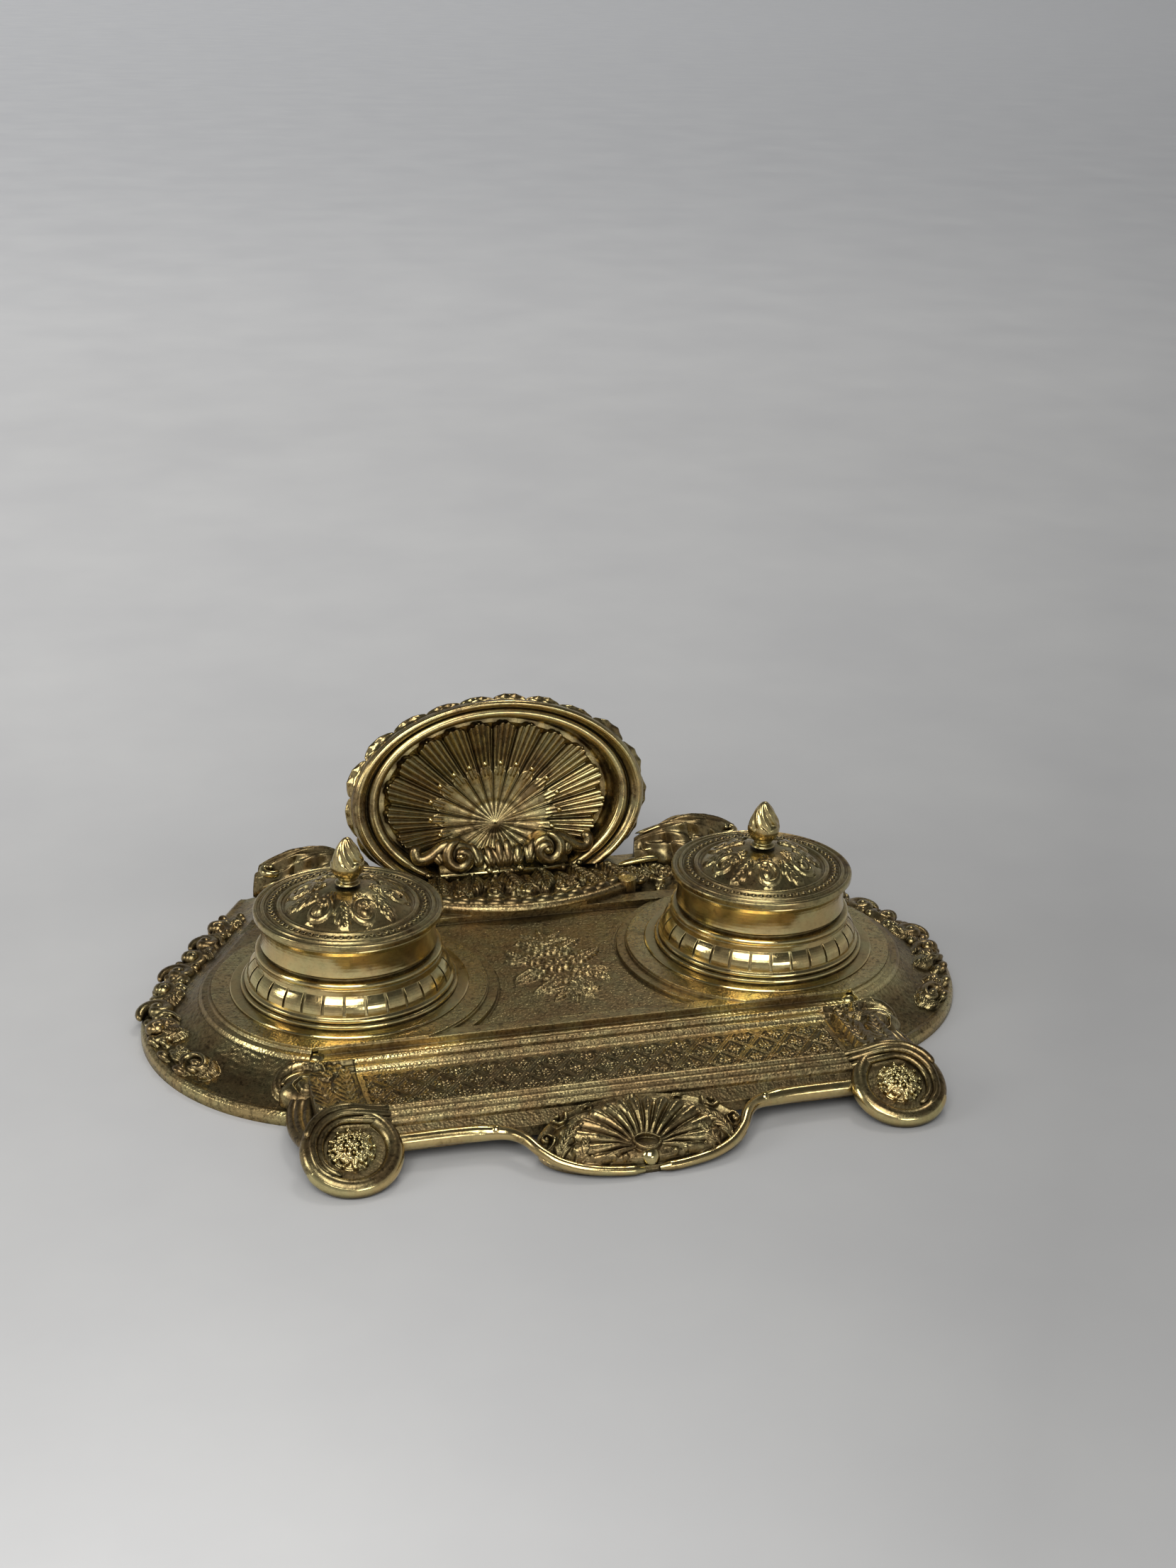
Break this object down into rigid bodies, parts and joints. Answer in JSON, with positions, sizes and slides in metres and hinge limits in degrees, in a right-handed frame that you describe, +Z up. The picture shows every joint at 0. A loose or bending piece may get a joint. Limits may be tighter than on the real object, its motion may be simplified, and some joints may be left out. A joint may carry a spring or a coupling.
{
  "type": "desk inkstand",
  "caption": "Brass desk inkstand: tray with pen channel, sunken centre tray, twin lidded ink wells with lift-out liners, scroll feet and an upright scallop shell at the back.",
  "frame": {"origin": "on the table, under the middle of the whole outline", "axes": "+X to the right of someone at the desk, +Y towards the back shell, +Z up"},
  "size_m": [0.308, 0.245, 0.0812],
  "materials": {
    "cast_brass": "aged cast brass, polished on the edges with brown patina in the recesses",
    "turned_brass": "plain turned brass, dull",
    "iron": "dark iron, lightly rusted",
    "glaze": "white glazed earthenware with fine crazing"
  },
  "bodies": {
    "base": {"base_casting": "cast_brass", "back_shell": "cast_brass", "left_leaf_wing": "cast_brass", "right_leaf_wing": "cast_brass", "crest_screws": "iron", "crest_washers": "turned_brass", "left_well_body": "cast_brass", "right_well_body": "cast_brass", "left_well_bolt": "iron", "right_well_bolt": "iron", "left_well_washer": "iron", "right_well_washer": "iron", "left_well_nut": "iron", "right_well_nut": "iron"},
    "left_liner": {"left_liner": "glaze"},
    "left_lid": {"left_lid": "cast_brass", "left_finial": "cast_brass", "left_finial_nut": "turned_brass"},
    "right_liner": {"right_liner": "glaze"},
    "right_lid": {"right_lid": "cast_brass", "right_finial": "cast_brass", "right_finial_nut": "turned_brass"}
  },
  "joints": [
    {"name": "left_liner_lift", "type": "slide", "parent": "base", "child": "left_liner", "axis": [0, 0, 1], "range_m": [0, 0.035]},
    {"name": "left_lid_lift", "type": "slide", "parent": "left_liner", "child": "left_lid", "axis": [0, 0, 1], "range_m": [0, 0.04]},
    {"name": "right_liner_lift", "type": "slide", "parent": "base", "child": "right_liner", "axis": [0, 0, 1], "range_m": [0, 0.035]},
    {"name": "right_lid_lift", "type": "slide", "parent": "right_liner", "child": "right_lid", "axis": [0, 0, 1], "range_m": [0, 0.04]}
  ]
}
